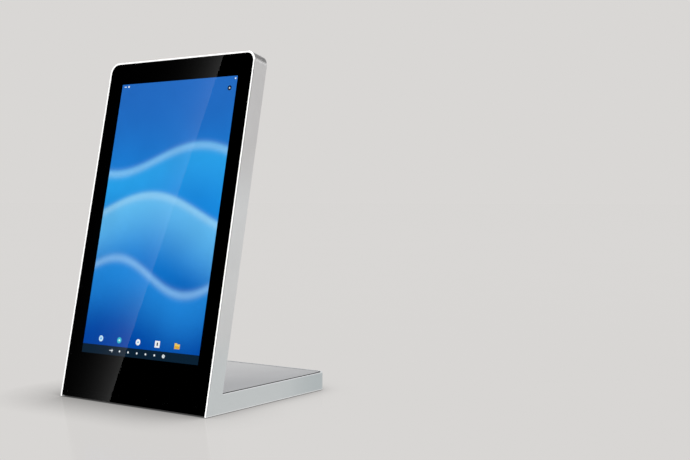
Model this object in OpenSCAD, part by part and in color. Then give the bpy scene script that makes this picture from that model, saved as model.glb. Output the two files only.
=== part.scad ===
// Countertop touchscreen kiosk: a portrait display head that leans back from a flat foot.
// Row frame: +X to the right of a person facing the glass, +Y to the rear, +Z up.
// The origin is on the counter, under the middle of the object's box.

/* [Screen] */
// Width of the lit area of the panel
screen_w = 193.6; // [165:0.1:240]
// Height of the lit area of the panel
screen_h = 344.2; // [290:0.1:420]
// Black glass border beside the lit area
border_side = 21.6; // [18:0.1:30]
// Black glass border above the lit area
border_top = 27.2; // [23:0.1:40]
// Black glass border below the lit area
border_bottom = 57; // [50:0.5:80]

/* [Frame] */
// Wall of the one-piece aluminium frame
frame_wall = 2.4; // [2:0.1:3]
// Outer radius of the head's top corners and the foot's rear corners
corner_r = 14; // [12:0.5:21]
// Bright chamfer along the frame's front edge
rim_chamfer = 0.4; // [0.2:0.1:1.4]
// Depth of the head, from the frame's front edge to its rear edge
head_depth = 23; // [21:0.5:30]
// Angle that the head leans back from upright
lean = 12; // [6:0.5:18]
// Depth of the foot, from the front edge to the rear wall
foot_depth = 233; // [200:1:290]
// Height of the foot's side wall
foot_height = 22; // [21:0.5:28]
// Width of the ledge that the glass is bonded to
ledge_w = 6; // [5:0.5:7]
// Thickness of that ledge
ledge_t = 2; // [1.5:0.1:2.5]
// How far the screw lugs stand in from the frame's wall
lug_out = 8.2; // [7.6:0.1:9]
// Length of a screw lug along the wall
lug_len = 14; // [10:1:18]
// Depth of the bar behind the glass at the foot's front
crossbar_d = 8; // [7:0.5:10]
// Height of that bar along the head
crossbar_h = 14; // [12:0.5:18]

/* [Display stack] */
// Glass surface behind the frame's front edge
glass_recess = 0.2; // [0.1:0.1:0.6]
// Gap between the glass edge and the frame's wall
glass_gap = 0.2; // [0.1:0.05:0.5]
// Gap below the glass, measured along the head
glass_foot_gap = 1.2; // [1:0.1:2]
// Cover glass thickness
glass_t = 2; // [1.8:0.1:4]
// Black print on the back of the glass
print_t = 0.2; // [0.1:0.05:0.4]
// Foam tape between print and ledge
tape_t = 0.8; // [0.5:0.1:1.2]
// Width of the foam tape
tape_w = 5; // [3:0.5:5]
// Touch sensor thickness
sensor_t = 1.1; // [0.7:0.1:1.8]
// How far the sensor reaches past the lit area
sensor_margin = 11; // [6:0.5:12]
// Foam gasket between sensor and panel
gasket_t = 1.2; // [0.8:0.1:1.6]
// Liquid crystal cell thickness
cell_t = 2; // [1.2:0.1:2.4]
// Diffuser and prism films
films_t = 0.6; // [0.3:0.1:0.8]
// Light guide thickness
guide_t = 3; // [2:0.1:3.4]
// Steel of the backlight tray
tray_t = 0.8; // [0.6:0.1:1]
// Panel module past the lit area at each side
module_side = 6; // [5:0.5:7]
// Panel module past the lit area at the top
module_top = 4; // [3:0.5:6]
// Panel module past the lit area at the bottom
module_bottom = 12; // [10:0.5:14]
// Steel plate that holds the panel in the frame
plate_t = 1.2; // [0.8:0.1:1.5]

/* [Covers] */
// Sheet of the head's back cover
cover_t = 1.5; // [1:0.1:2]
// Gap round each cover
cover_gap = 0.3; // [0.2:0.05:0.6]
// Sheet of the foot's top cover
top_t = 1.2; // [1:0.1:2]
// Dark gap between the foot's wall and its top cover
shadow_gap = 2.4; // [1.5:0.1:3]
// Depth of the top cover's folded skirt
skirt_h = 5.7; // [4:0.1:6]
// Steel of the foot's bottom plate
bottom_t = 2; // [1.5:0.1:3]
// Bottom plate above the frame's lower edge
bottom_recess = 0.6; // [0.3:0.1:1]
// Width of a cooling slot
slot_w = 2.4; // [1.6:0.1:3]
// Length of a cooling slot
slot_len = 20; // [12:1:26]
// Distance between cooling slots
slot_pitch = 7; // [5:0.5:9]
// Cooling slots in each row of the back cover
slot_count = 23; // [9:2:25]

/* [Foot] */
// Rubber foot radius
pad_r = 9; // [6:0.5:10]
// Height of the frame's lower edge above the counter
pad_proud = 0.8; // [0.5:0.1:2.5]
// Distance of the rubber feet from the foot's front and rear
pad_edge = 24; // [20:1:32]
// Spacing across the kiosk of the threaded inserts for bolting down
insert_pitch_x = 75; // [60:5:100]
// Spacing of the same inserts from front to rear
insert_pitch_y = 40; // [30:5:40]
// Bore radius of those inserts, for an M4 bolt
insert_bore_r = 2; // [1.5:0.5:2.5]
// Height of an insert above the bottom plate
insert_h = 7; // [5:0.5:8]

/* [Board and ports] */
// Main board width
board_w = 140; // [130:1:145]
// Main board depth
board_d = 100; // [90:1:105]
// Circuit board thickness
pcb_t = 1.6; // [1:0.1:2]
// Standoff height under the main board
standoff_h = 3; // [2.5:0.1:3.2]
// Sheet of the port plate
port_plate_t = 1; // [0.8:0.1:1.5]
// Clearance round each port in the port plate
port_gap = 0.3; // [0.2:0.05:0.5]
// How far the ports stand out of the port plate
port_proud = 0.5; // [0.2:0.1:1]
// Speaker box width
speaker_w = 56; // [40:1:66]
// Speaker box height
speaker_h = 24; // [18:1:28]

/* [Buttons] */
// Travel of each button
button_travel = 0.6; // [0.3:0.1:0.8]
// How far a button stands out of the rear wall at rest
button_proud = 1; // [0.9:0.1:1.5]
// Power button radius
power_r = 4.5; // [3.5:0.1:5]
// Volume button radius
volume_r = 3.2; // [2.5:0.1:4]
// Radial clearance of a button in its hole
button_gap = 0.15; // [0.1:0.05:0.3]

/* [Fasteners] */
// Shank radius of the M3 screws
screw_r = 1.4; // [1.3:0.05:1.45]
// Tapped hole radius for them
tapped_r = 1.5; // [1.5:0.05:1.6]
// Clearance hole radius for them
clear_r = 1.65; // [1.6:0.05:1.8]
// Head radius
head_r = 2.8; // [2.5:0.1:3]
// Pan head height
head_h = 1.8; // [1.4:0.1:2]
// Screw length under the head
screw_len = 5; // [4:0.5:6]

/* [Hidden] */
$fn = 48;

aluminium_colour = [0.78, 0.79, 0.80];
steel_colour = [0.62, 0.63, 0.65];
board_colour = [0.05, 0.30, 0.16];

// Overlap that joins a feature to its wall, and how far cutters run past what they cut
bite = 0.5;
past = 1;

// Overall sizes
frame_w = screen_w + 2 * (border_side + glass_gap + frame_wall);
head_len = border_bottom + screen_h + border_top + glass_gap + frame_wall;
front_y = -(foot_depth + button_proud) / 2;
rear_y = front_y + foot_depth;
rear_in = rear_y - frame_wall;
frame_z = pad_proud;
foot_top = frame_z + foot_height;
cavity_hw = frame_w / 2 - frame_wall;
cavity_top = head_len - frame_wall;
cavity_r = corner_r - frame_wall;

// Depths in the head, counted back from the frame's front edge
glass_n = glass_recess + glass_t;
print_n = glass_n + print_t;
tape_n = print_n + tape_t;
ledge_n = tape_n + ledge_t;
sensor_n = print_n + sensor_t;
gasket_n = sensor_n + gasket_t;
cell_n = gasket_n + cell_t;
films_n = cell_n + films_t;
guide_n = films_n + guide_t;
tray_n = guide_n + tray_t;
plate_n = tray_n + plate_t;
cover_n = head_depth - cover_t;

// The panel module, in the head's own x and height
screen_top = border_bottom + screen_h;
tray_hw = screen_w / 2 + module_side;
tray_low = border_bottom - module_bottom;
tray_high = screen_top + module_top;
seat_gap = 0.3;
led_h = 3;

// Heights in the foot
bottom_z = frame_z + bottom_recess;
floor_z = bottom_z + bottom_t;
top_high = foot_top;
top_z = top_high - top_t;
board_z = floor_z + standoff_h;
board_top = board_z + pcb_t;

// The main board and the ports along its rear edge
board_x = -95;
port_back = rear_in - port_plate_t;
board_back = port_back - 0.6;
board_front = board_back - board_d;
port_face = rear_in + port_proud - port_plate_t / 2;
plate_x = [-98, 20];
window_x = [-92, 14];
window_z = [board_top - 2, foot_top - 2.2];
// Each port: middle x, width, depth and height
dc_size = [-84, 9, 14, 11];
hdmi_size = [-62, 15, 11.5, 6.2];
usb_size = [[-40, 13.4, 14, 6.2], [-22, 13.4, 14, 6.2]];
lan_size = [2, 16, 15.5, 11.8];
port_sizes = concat([dc_size, hdmi_size, lan_size], usb_size);

// Screw places: up the head, along the foot from its front edge, and across
display_lug_v = [for (k = [0:2]) border_bottom + screen_h * (0.11 + 0.38 * k)];
cover_lug_v = [for (k = [0:3]) border_bottom + 3 + (screen_h - 7) * k / 3];
head_screw_x = cavity_hw - 4.4;
top_lug_x = frame_w * 0.24;
top_screw_v = cavity_top - 4.3;
bottom_lug_y = [for (share = [0.2, 0.46, 0.78]) front_y + foot_depth * share];
cover_lug_y = [for (share = [0.31, 0.61, 0.89]) front_y + foot_depth * share];
foot_screw_x = cavity_hw - 4.6;
crossbar_screw_x = frame_w * 0.25;
crossbar_screw_y = front_y + tape_n + 5.4;
cover_lug_z = [floor_z + 4.9, floor_z + 10.9];
bottom_lug_h = 10;
insert_y = front_y + 58;
bracket_x = frame_w * 0.35;
bracket_w = 20;
bracket_t = 2;
bracket_leg_v = 104;
bracket_leg_y = 62;
standoff_r = 2.9;
standoff_places = [for (x = [board_x + 5, board_x + board_w - 5])
    for (y = [board_front + 5, board_back - 24]) [x, y]];

// Buttons: x places, and depths counted in from the rear wall's inner face
button_x = [60, 76, 92];
button_z = (floor_z + foot_top) / 2 - 1.2;
flange_t = 1.2;
flange_gap = 0.1;
stem_r = 2;
stem_in = 3.5;
plunger_r = 1.7;
plunger_in = 6;
switch_in = [4.7, 8.3];
switch_w = 6.2;

// Speakers and other pieces on the display plate
speaker_x = screen_w * 0.34;
speaker_v = border_bottom + 64;
speaker_n = cover_n - 0.4;
cone_r = 9;
cone_t = 0.8;

// ---------- Helpers ----------

// The head's own frame: x across, y back from the front edge, z up the lean.
module head() {
    translate([0, front_y, frame_z]) rotate([-lean, 0, 0]) children();
}

// A point of the head's frame in the row frame
function head_point(x, n, v) =
    [x, front_y + n * cos(lean) + v * sin(lean), frame_z + v * cos(lean) - n * sin(lean)];

// A flat outline in the head's x and height, made solid between two depths
module head_sheet(n0, n1) {
    head() translate([0, n1, 0]) rotate([90, 0, 0]) linear_extrude(n1 - n0) children();
}

module head_block(x0, x1, n0, n1, v0, v1) {
    head() translate([x0, n0, v0]) cube([x1 - x0, n1 - n0, v1 - v0]);
}

// A rod or hole along the head's depth
module head_rod(x, v, r, n0, n1) {
    head() translate([x, n0, v]) rotate([-90, 0, 0]) cylinder(r = r, h = n1 - n0);
}

module block(low, high) {
    translate(low) cube(high - low);
}

// A rod or hole that runs towards +Y
module rear_rod(x, z, r, y0, y1) {
    translate([x, y0, z]) rotate([-90, 0, 0]) cylinder(r = r, h = y1 - y0);
}

// The head's outline: square at the bottom and round at both top corners
module arch(hw, low, high, r) {
    translate([-hw, low]) square([2 * hw, high - r - low]);
    translate([r - hw, low]) square([2 * (hw - r), high - low]);
    for (side = [-1, 1]) translate([side * (hw - r), high - r]) circle(r);
}

// The foot's outline from above, set in from the frame's outer face
module foot_plan(inset, y0) {
    hw = frame_w / 2 - inset;
    r = corner_r - inset;
    back = rear_y - inset;
    translate([-hw, y0]) square([2 * hw, back - r - y0]);
    translate([r - hw, y0]) square([2 * (hw - r), back - y0]);
    for (side = [-1, 1]) translate([side * (hw - r), back - r]) circle(r);
}

module slot2d(length, width) {
    square([width, length - width], center = true);
    for (end = [-1, 1]) translate([0, end * (length - width) / 2]) circle(width / 2);
}

// Everything above a height in the row frame
module above(z) {
    translate([-frame_w, front_y - foot_depth, z]) cube([2 * frame_w, 3 * foot_depth, 2 * head_len]);
}

// y of the head's plane at one depth, where it crosses a height
function head_y(n, z) = front_y + n / cos(lean) + (z - frame_z) * tan(lean);

// A pan screw that points along -Z with its head's underside at the origin
module pan_screw(length) {
    difference() {
        union() {
            cylinder(r = head_r, h = head_h);
            translate([0, 0, -length]) cylinder(r = screw_r, h = length + bite);
        }
        translate([0, 0, head_h * 0.45]) cylinder(r = head_r * 0.45, h = head_h, $fn = 6);
    }
}

// A countersunk screw that points along -Z with its flat head at the origin
module flat_screw(length, sink) {
    difference() {
        union() {
            translate([0, 0, -sink]) cylinder(r1 = screw_r, r2 = head_r, h = sink);
            translate([0, 0, -sink - length]) cylinder(r = screw_r, h = length + sink / 2);
        }
        translate([0, 0, -sink * 0.55]) cylinder(r = head_r * 0.42, h = head_h, $fn = 6);
    }
}

// The countersunk hole for it
module flat_hole(depth, sink) {
    translate([0, 0, -sink]) cylinder(r1 = clear_r, r2 = clear_r + head_r - screw_r, h = sink);
    translate([0, 0, -depth]) cylinder(r = clear_r, h = depth);
}

// Sweeps a round lead along a path: rings of points, side faces and two end caps
function unit(v) = v / norm(v);
function along(path, k) =
    unit(path[min(k + 1, len(path) - 1)] - path[max(k - 1, 0)]);
function ring(path, k, r, sides) =
    let (t = along(path, k), a = unit(cross(t, [0.31, 0.27, 0.91])), b = cross(t, a))
    [for (s = [0:sides - 1]) path[k] + r * (cos(360 * s / sides) * a + sin(360 * s / sides) * b)];
// Cuts each corner of a path in two, which rounds it
function rounded(path, times) =
    times == 0 ? path :
    rounded(concat([path[0]],
        [for (k = [0:len(path) - 2]) each [
            path[k] * 0.75 + path[k + 1] * 0.25, path[k] * 0.25 + path[k + 1] * 0.75]],
        [path[len(path) - 1]]), times - 1);

module lead(path, r, sides = 8) {
    line = rounded(path, 2);
    last = len(line) - 1;
    polyhedron(
        points = [for (k = [0:last]) each ring(line, k, r, sides)],
        faces = concat(
            [[for (s = [0:sides - 1]) s]],
            [for (k = [0:last - 1]) for (s = [0:sides - 1]) let (next = (s + 1) % sides)
                [k * sides + s, (k + 1) * sides + s, (k + 1) * sides + next, k * sides + next]],
            [[for (s = [sides - 1:-1:0]) last * sides + s]]));
}

// A flat strip of one width whose edge follows a path of [y, z] points
function strip_side(path, t) =
    [for (k = [0:len(path) - 1]) let (d = along(path, k)) path[k] + t / 2 * [-d[1], d[0]]];
module strip(path, t, x0, x1) {
    line = rounded(path, 2);
    outline = concat(strip_side(line, t), [for (p = strip_side(line, -t)) p],[]);
    count = len(line);
    shape = [for (k = [0:2 * count - 1]) k < count ? outline[k] : outline[3 * count - 1 - k]];
    translate([x0, 0, 0]) rotate([90, 0, 90]) linear_extrude(x1 - x0) polygon(shape);
}

// ---------- Frame ----------

// The head's outer block, with the chamfer along its front edge
module head_outer() {
    hw = frame_w / 2;
    c = rim_chamfer;
    head_sheet(c, head_depth) arch(hw, -head_depth, head_len, corner_r);
    head() rotate([90, 0, 90]) translate([0, 0, corner_r - hw])
        linear_extrude(2 * (hw - corner_r))
            polygon([[0, -head_depth], [c + bite, -head_depth], [c + bite, head_len],
                [c, head_len], [0, head_len - c]]);
    head() translate([0, 0, -head_depth]) linear_extrude(head_len - corner_r + head_depth)
        polygon([[c - hw, 0], [hw - c, 0], [hw, c], [hw, c + bite], [-hw, c + bite], [-hw, c]]);
    for (side = [-1, 1])
        head() translate([side * (hw - corner_r), 0, head_len - corner_r]) rotate([-90, 0, 0])
            cylinder(r1 = corner_r - c, r2 = corner_r, h = c);
}

module frame_shell() {
    difference() {
        union() {
            head_outer();
            translate([0, 0, frame_z]) linear_extrude(foot_height)
                foot_plan(0, head_y(head_depth / 2, foot_top));
        }
        head_sheet(-past, head_depth + past)
            arch(cavity_hw, -2 * head_depth, cavity_top, cavity_r);
        translate([0, 0, -head_depth]) linear_extrude(foot_top + head_depth + past)
            foot_plan(frame_wall, front_y - past);
        translate([-frame_w, front_y - foot_depth, frame_z - 2 * head_len])
            cube([2 * frame_w, 3 * foot_depth, 2 * head_len]);
        block([window_x[0], rear_in - past, window_z[0]], [window_x[1], rear_y + past, window_z[1]]);
        for (k = [0:2]) rear_rod(button_x[k], button_z,
            (k == 0 ? power_r : volume_r) + button_gap, rear_in - past, rear_y + past);
    }
}

// Ledge behind the glass, cross bar, and the lugs that the screws go into
module frame_ledge() {
    head_sheet(tape_n, ledge_n) difference() {
        arch(cavity_hw + bite, 0, cavity_top + bite, cavity_r + bite);
        arch(cavity_hw - ledge_w, -past, cavity_top - ledge_w, cavity_r - ledge_w);
    }
    head_block(-cavity_hw - bite, cavity_hw + bite, tape_n, tape_n + crossbar_d, 0, crossbar_h);
}

module frame_lugs() {
    for (side = [-1, 1]) {
        x0 = side < 0 ? -cavity_hw - bite : cavity_hw - lug_out;
        x1 = side < 0 ? lug_out - cavity_hw : cavity_hw + bite;
        for (v = display_lug_v)
            head_block(x0, x1, ledge_n - bite, tray_n, v - lug_len / 2, v + lug_len / 2);
        for (v = cover_lug_v)
            head_block(x0, x1, ledge_n - bite, cover_n, v - lug_len / 2, v + lug_len / 2);
        head_block(side * top_lug_x - lug_len / 2, side * top_lug_x + lug_len / 2,
            ledge_n - bite, cover_n, cavity_top - lug_out, cavity_top + bite);
        for (y = bottom_lug_y)
            block([x0, y - lug_len / 2, floor_z], [x1, y + lug_len / 2, floor_z + bottom_lug_h]);
        for (y = cover_lug_y)
            block([x0, y - lug_len / 2, cover_lug_z[0]], [x1, y + lug_len / 2, cover_lug_z[1]]);
    }
}

module frame_tapped_holes() {
    for (side = [-1, 1]) {
        for (v = display_lug_v)
            head_rod(side * head_screw_x, v, tapped_r, tray_n - screw_len - past, tray_n + past);
        for (v = cover_lug_v)
            head_rod(side * head_screw_x, v, tapped_r, cover_n - screw_len - past, cover_n + past);
        head_rod(side * top_lug_x, top_screw_v, tapped_r, cover_n - screw_len - past, cover_n + past);
        for (y = bottom_lug_y)
            translate([side * foot_screw_x, y, floor_z - past])
                cylinder(r = tapped_r, h = screw_len + 2 * past);
        for (y = cover_lug_y)
            translate([side * foot_screw_x, y, cover_lug_z[0] - past])
                cylinder(r = clear_r, h = cover_lug_z[1] - cover_lug_z[0] + 2 * past);
        translate([side * crossbar_screw_x, crossbar_screw_y, floor_z - past])
            cylinder(r = tapped_r, h = screw_len + 2 * past);
    }
    for (x = [plate_x[0] + 3, plate_x[1] - 3])
        rear_rod(x, (floor_z + foot_top) / 2, tapped_r, rear_in - past, rear_in + frame_wall - 0.6);
}

module outer_frame() {
    color(aluminium_colour) difference() {
        union() {
            frame_shell();
            intersection() {
                union() {
                    frame_ledge();
                    frame_lugs();
                }
                above(floor_z);
            }
        }
        frame_tapped_holes();
    }
}

// ---------- Glass and display ----------

glass_hw = cavity_hw - glass_gap;
glass_top = cavity_top - glass_gap;
glass_r = cavity_r - glass_gap;

module cover_glass() {
    color([0.75, 0.8, 0.85, 0.4]) head_sheet(glass_recess, glass_n)
        arch(glass_hw, glass_foot_gap, glass_top, glass_r);
}

module border_print() {
    color([0.02, 0.02, 0.02]) head_sheet(glass_n, print_n) difference() {
        arch(glass_hw, glass_foot_gap, glass_top, glass_r);
        translate([-screen_w / 2, border_bottom]) square([screen_w, screen_h]);
    }
}

module glass_tape() {
    inset = 0.6;
    color([0.15, 0.15, 0.16]) head_sheet(print_n, tape_n) difference() {
        arch(cavity_hw - inset, crossbar_h - 3 - tape_w, cavity_top - inset, cavity_r - inset);
        arch(cavity_hw - inset - tape_w, crossbar_h - 3, cavity_top - inset - tape_w,
            cavity_r - inset - tape_w);
    }
}

module touch_sensor() {
    color([0.8, 0.85, 0.85, 0.3]) head_block(-screen_w / 2 - sensor_margin, screen_w / 2 + sensor_margin,
        print_n, sensor_n, border_bottom - sensor_margin, screen_top + sensor_margin / 2);
}

module display_gasket() {
    lip = 1.5;
    color([0.1, 0.1, 0.1]) head_sheet(sensor_n, gasket_n) difference() {
        translate([-tray_hw, tray_low + 1.5])
            square([2 * tray_hw, tray_high - tray_low - 1.5]);
        translate([-screen_w / 2 - lip, border_bottom - lip])
            square([screen_w + 2 * lip, screen_h + 2 * lip]);
    }
}

// A layer that lies in the tray, between two depths and above a height
module tray_layer(n0, n1, low) {
    hw = tray_hw - tray_t - seat_gap;
    head_block(-hw, hw, n0, n1, low, tray_high - tray_t - seat_gap);
}

module lcd_cell() {
    color([0.05, 0.25, 0.75]) tray_layer(gasket_n, cell_n, tray_low + tray_t + seat_gap);
}

module optical_films() {
    color([0.92, 0.93, 0.95]) tray_layer(cell_n, films_n, tray_low + tray_t + seat_gap);
}

module light_guide() {
    color([0.85, 0.9, 0.92, 0.6]) tray_layer(films_n, guide_n, tray_low + tray_t + 2 * seat_gap + led_h);
}

module led_bar() {
    hw = tray_hw - tray_t - seat_gap;
    low = tray_low + tray_t + seat_gap;
    color([0.95, 0.95, 0.85]) head_block(-hw, hw, films_n, guide_n, low, low + led_h);
}

module backlight_tray() {
    color(steel_colour) head() difference() {
        translate([-tray_hw, gasket_n, tray_low])
            cube([2 * tray_hw, tray_n - gasket_n, tray_high - tray_low]);
        translate([tray_t - tray_hw, gasket_n - past, tray_low + tray_t])
            cube([2 * (tray_hw - tray_t), guide_n - gasket_n + past, tray_high - tray_low - 2 * tray_t]);
    }
}

// Narrow board along the panel's lower edge, behind the tray
driver_v = [tray_low + 2, tray_low + 14];
driver_n = tray_n + 1;
module lcd_driver_board() {
    color(board_colour) head_block(-tray_hw + 10, tray_hw - 10, tray_n, driver_n, driver_v[0], driver_v[1]);
    color([0.9, 0.9, 0.85]) head_block(-34, -2, driver_n, driver_n + 1.6, driver_v[0] + 1, driver_v[0] + 6);
}

plate_low = driver_v[1] + 3;
plate_high = tray_high - 5;
module display_plate() {
    color(steel_colour) head_sheet(tray_n, plate_n) difference() {
        union() {
            translate([1 - tray_hw, plate_low]) square([2 * tray_hw - 2, plate_high - plate_low]);
            for (v = display_lug_v)
                translate([-cavity_hw + 2, v - lug_len / 2 + 1])
                    square([2 * (cavity_hw - 2), lug_len - 2]);
        }
        for (k = [0:1])
            translate([-screen_w * 0.3, border_bottom + screen_h * (0.31 + 0.33 * k)])
                square([screen_w * 0.6, screen_h * 0.24]);
        for (side = [-1, 1]) {
            for (v = display_lug_v) translate([side * head_screw_x, v]) circle(clear_r);
            for (v = bracket_screw_v) translate([side * bracket_x, v]) circle(tapped_r);
        }
    }
}

module display_plate_screws() {
    color(steel_colour) for (side = [-1, 1]) for (v = display_lug_v)
        head() translate([side * head_screw_x, plate_n, v]) rotate([-90, 0, 0]) pan_screw(screw_len);
}

// ---------- Covers ----------

module back_cover() {
    color(aluminium_colour) intersection() {
        difference() {
            head_sheet(cover_n, head_depth) difference() {
                arch(cavity_hw - cover_gap, 0, cavity_top - cover_gap, cavity_r - cover_gap);
                for (row = [0:1]) for (k = [0:slot_count - 1])
                    translate([(k - (slot_count - 1) / 2) * slot_pitch,
                        screen_top - slot_len - row * (slot_len + 6)])
                        slot2d(slot_len, slot_w);
                for (side = [-1, 1]) for (k = [-3:3])
                    translate([side * speaker_x + k * slot_pitch * 0.8, speaker_v])
                        slot2d(speaker_h * 0.7, slot_w * 0.8);
            }
            for (side = [-1, 1]) {
                for (v = cover_lug_v)
                    head() translate([side * head_screw_x, head_depth + 0.001, v]) rotate([-90, 0, 0])
                        flat_hole(cover_t + past, cover_t);
                head() translate([side * top_lug_x, head_depth + 0.001, top_screw_v])
                    rotate([-90, 0, 0]) flat_hole(cover_t + past, cover_t);
            }
        }
        above(top_high + cover_gap);
    }
}

module back_cover_screws() {
    color(steel_colour) for (side = [-1, 1]) {
        for (v = cover_lug_v)
            head() translate([side * head_screw_x, head_depth, v]) rotate([-90, 0, 0])
                flat_screw(screw_len, cover_t);
        head() translate([side * top_lug_x, head_depth, top_screw_v]) rotate([-90, 0, 0])
            flat_screw(screw_len, cover_t);
    }
}

top_front = head_y(head_depth, top_high) + cover_gap;
tongue_d = 5;
post_r = 3.3;
module base_top_cover() {
    color(aluminium_colour) difference() {
        union() {
            translate([0, 0, top_z]) linear_extrude(top_t) {
                foot_plan(frame_wall + shadow_gap, top_front);
                translate([cover_gap - cavity_hw, top_front - tongue_d])
                    square([2 * (cavity_hw - cover_gap), tongue_d + bite]);
            }
            translate([0, 0, top_z - skirt_h]) linear_extrude(skirt_h + bite) difference() {
                foot_plan(frame_wall + shadow_gap, top_front + 4);
                foot_plan(frame_wall + shadow_gap + top_t, top_front + 4 - past);
                translate([plate_x[0] - 4, rear_in - 2 * corner_r])
                    square([button_x[2] + power_r + 4 - plate_x[0], 3 * corner_r]);
            }
            translate([0, 0, cover_lug_z[1]]) linear_extrude(top_z - cover_lug_z[1] + bite)
                intersection() {
                    for (side = [-1, 1]) for (y = cover_lug_y)
                        translate([side * foot_screw_x, y]) circle(post_r);
                    foot_plan(frame_wall + shadow_gap + top_t / 4, front_y);
                }
        }
        for (side = [-1, 1]) for (y = cover_lug_y)
            translate([side * foot_screw_x, y, cover_lug_z[1] - past])
                cylinder(r = tapped_r, h = screw_len + 2 * past);
    }
}

module top_cover_screws() {
    color(steel_colour) for (side = [-1, 1]) for (y = cover_lug_y)
        translate([side * foot_screw_x, y, cover_lug_z[0]]) mirror([0, 0, 1])
            pan_screw(cover_lug_z[1] - cover_lug_z[0] + screw_len);
}

bottom_front = head_y(print_n, floor_z) + 0.5;
insert_places = [for (sx = [-1, 1]) for (sy = [-1, 1])
    [sx * insert_pitch_x / 2, insert_y + sy * insert_pitch_y / 2]];
insert_r = insert_bore_r + 1;
module base_bottom_plate() {
    color(steel_colour) difference() {
        translate([0, 0, bottom_z]) linear_extrude(bottom_t) difference() {
            foot_plan(frame_wall + cover_gap, bottom_front);
            for (p = insert_places) translate(p) circle(insert_r + 0.05);
            for (k = [0:8]) translate([board_x + 28 + k * slot_pitch * 1.5, board_front + board_d * 0.4])
                slot2d(slot_len * 1.5, slot_w);
            for (p = standoff_places) translate(p) circle(tapped_r);
            for (side = [-1, 1]) for (y = bracket_screw_y)
                translate([side * bracket_x, y]) circle(tapped_r);
            for (x = bracket_hole_x) translate([x, bracket_hole_y]) circle(tapped_r);
        }
        for (side = [-1, 1]) {
            for (y = bottom_lug_y) translate([side * foot_screw_x, y, bottom_z - 0.001])
                mirror([0, 0, 1]) flat_hole(bottom_t + past, bottom_t);
            translate([side * crossbar_screw_x, crossbar_screw_y, bottom_z - 0.001])
                mirror([0, 0, 1]) flat_hole(bottom_t + past, bottom_t);
        }
    }
}

module bottom_plate_screws() {
    color(steel_colour) for (side = [-1, 1]) {
        for (y = bottom_lug_y) translate([side * foot_screw_x, y, bottom_z]) mirror([0, 0, 1])
            flat_screw(screw_len, bottom_t);
        translate([side * crossbar_screw_x, crossbar_screw_y, bottom_z]) mirror([0, 0, 1])
            flat_screw(screw_len, bottom_t);
    }
}

module rubber_feet() {
    color([0.08, 0.08, 0.08]) for (side = [-1, 1]) for (y = [front_y + pad_edge, rear_y - pad_edge])
        translate([side * (cavity_hw - pad_edge), y, 0]) {
            cylinder(r1 = pad_r - 0.6, r2 = pad_r, h = 0.6);
            translate([0, 0, 0.6]) cylinder(r = pad_r, h = bottom_z - 0.6);
        }
}

module fixing_inserts() {
    flange_h = 0.5;
    color([0.8, 0.68, 0.35]) for (p = insert_places) translate([p[0], p[1], bottom_z]) difference() {
        union() {
            translate([0, 0, -flange_h]) cylinder(r = insert_r + 1.4, h = flange_h);
            translate([0, 0, -flange_h / 2]) cylinder(r = insert_r, h = insert_h + bottom_t);
        }
        translate([0, 0, -past]) cylinder(r = insert_bore_r, h = insert_h + bottom_t + 2 * past);
    }
}

// ---------- Brackets between head and foot ----------

bracket_screw_v = [bracket_leg_v - 26, bracket_leg_v - 8];
bracket_screw_y = [front_y + bracket_leg_y - 22, front_y + bracket_leg_y - 7];
module corner_brackets() {
    color(steel_colour) for (side = [-1, 1]) {
        x0 = side * bracket_x - bracket_w / 2;
        difference() {
            union() {
                intersection() {
                    head_block(x0, x0 + bracket_w, plate_n, plate_n + bracket_t, 0, bracket_leg_v);
                    above(floor_z);
                }
                block([x0, head_y(plate_n, floor_z), floor_z],
                    [x0 + bracket_w, front_y + bracket_leg_y, floor_z + bracket_t]);
            }
            for (v = bracket_screw_v)
                head_rod(side * bracket_x, v, clear_r, plate_n - past, plate_n + bracket_t + past);
            for (y = bracket_screw_y)
                translate([side * bracket_x, y, floor_z - past])
                    cylinder(r = clear_r, h = bracket_t + 2 * past);
        }
    }
}

module bracket_screws() {
    color(steel_colour) for (side = [-1, 1]) {
        for (v = bracket_screw_v)
            head() translate([side * bracket_x, plate_n + bracket_t, v]) rotate([-90, 0, 0])
                pan_screw(bracket_t + plate_t);
        for (y = bracket_screw_y)
            translate([side * bracket_x, y, floor_z + bracket_t]) pan_screw(bracket_t + bottom_t);
    }
}

// ---------- Electronics in the head ----------

controller_v = [plate_low + 6, plate_low + 26];
controller_x = [-22, 30];
module touch_controller() {
    color(board_colour)
        head_block(controller_x[0], controller_x[1], plate_n, plate_n + 1.2, controller_v[0], controller_v[1]);
    color([0.1, 0.1, 0.1])
        head_block(-4, 4, plate_n + 1, plate_n + 2.2, controller_v[0] + 7, controller_v[0] + 15);
}

// Flat cable from the sensor's lower edge, under the tray, to the controller
module touch_flex() {
    low = tray_low;
    color([0.8, 0.5, 0.15]) head() translate([0, 0, 0])
        strip([[sensor_n + 0.15, border_bottom - sensor_margin + 0.4], [sensor_n + 0.2, low - 2.5],
            [gasket_n + 3, low - 3.5], [tray_n + 0.6, low - 2.5], [tray_n + 2.4, low + 6],
            [plate_n + 2, plate_low + 2], [plate_n + 1.4, controller_v[0] - 0.1]], 0.2, 8, 26);
}

display_cable_x = [-30, -6];
header_y = [board_front + 6, board_front + 11];
module display_cable() {
    start = head_point(0, driver_n + 1.85, driver_v[0] + 5);
    drop = head_point(0, driver_n + 3.4, driver_v[0] - 8);
    low = head_point(0, driver_n + 4, crossbar_h + 8);
    color([0.85, 0.85, 0.8]) strip([[start[1], start[2]], [drop[1], drop[2]], [low[1], low[2]],
        [front_y + 44, floor_z + 3.2], [board_front - 14, floor_z + 2.2], [board_front - 2, board_top + 1],
        [header_y[0] - 0.05, board_top + 1.5]], 0.3, display_cable_x[0], display_cable_x[1]);
}

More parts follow.
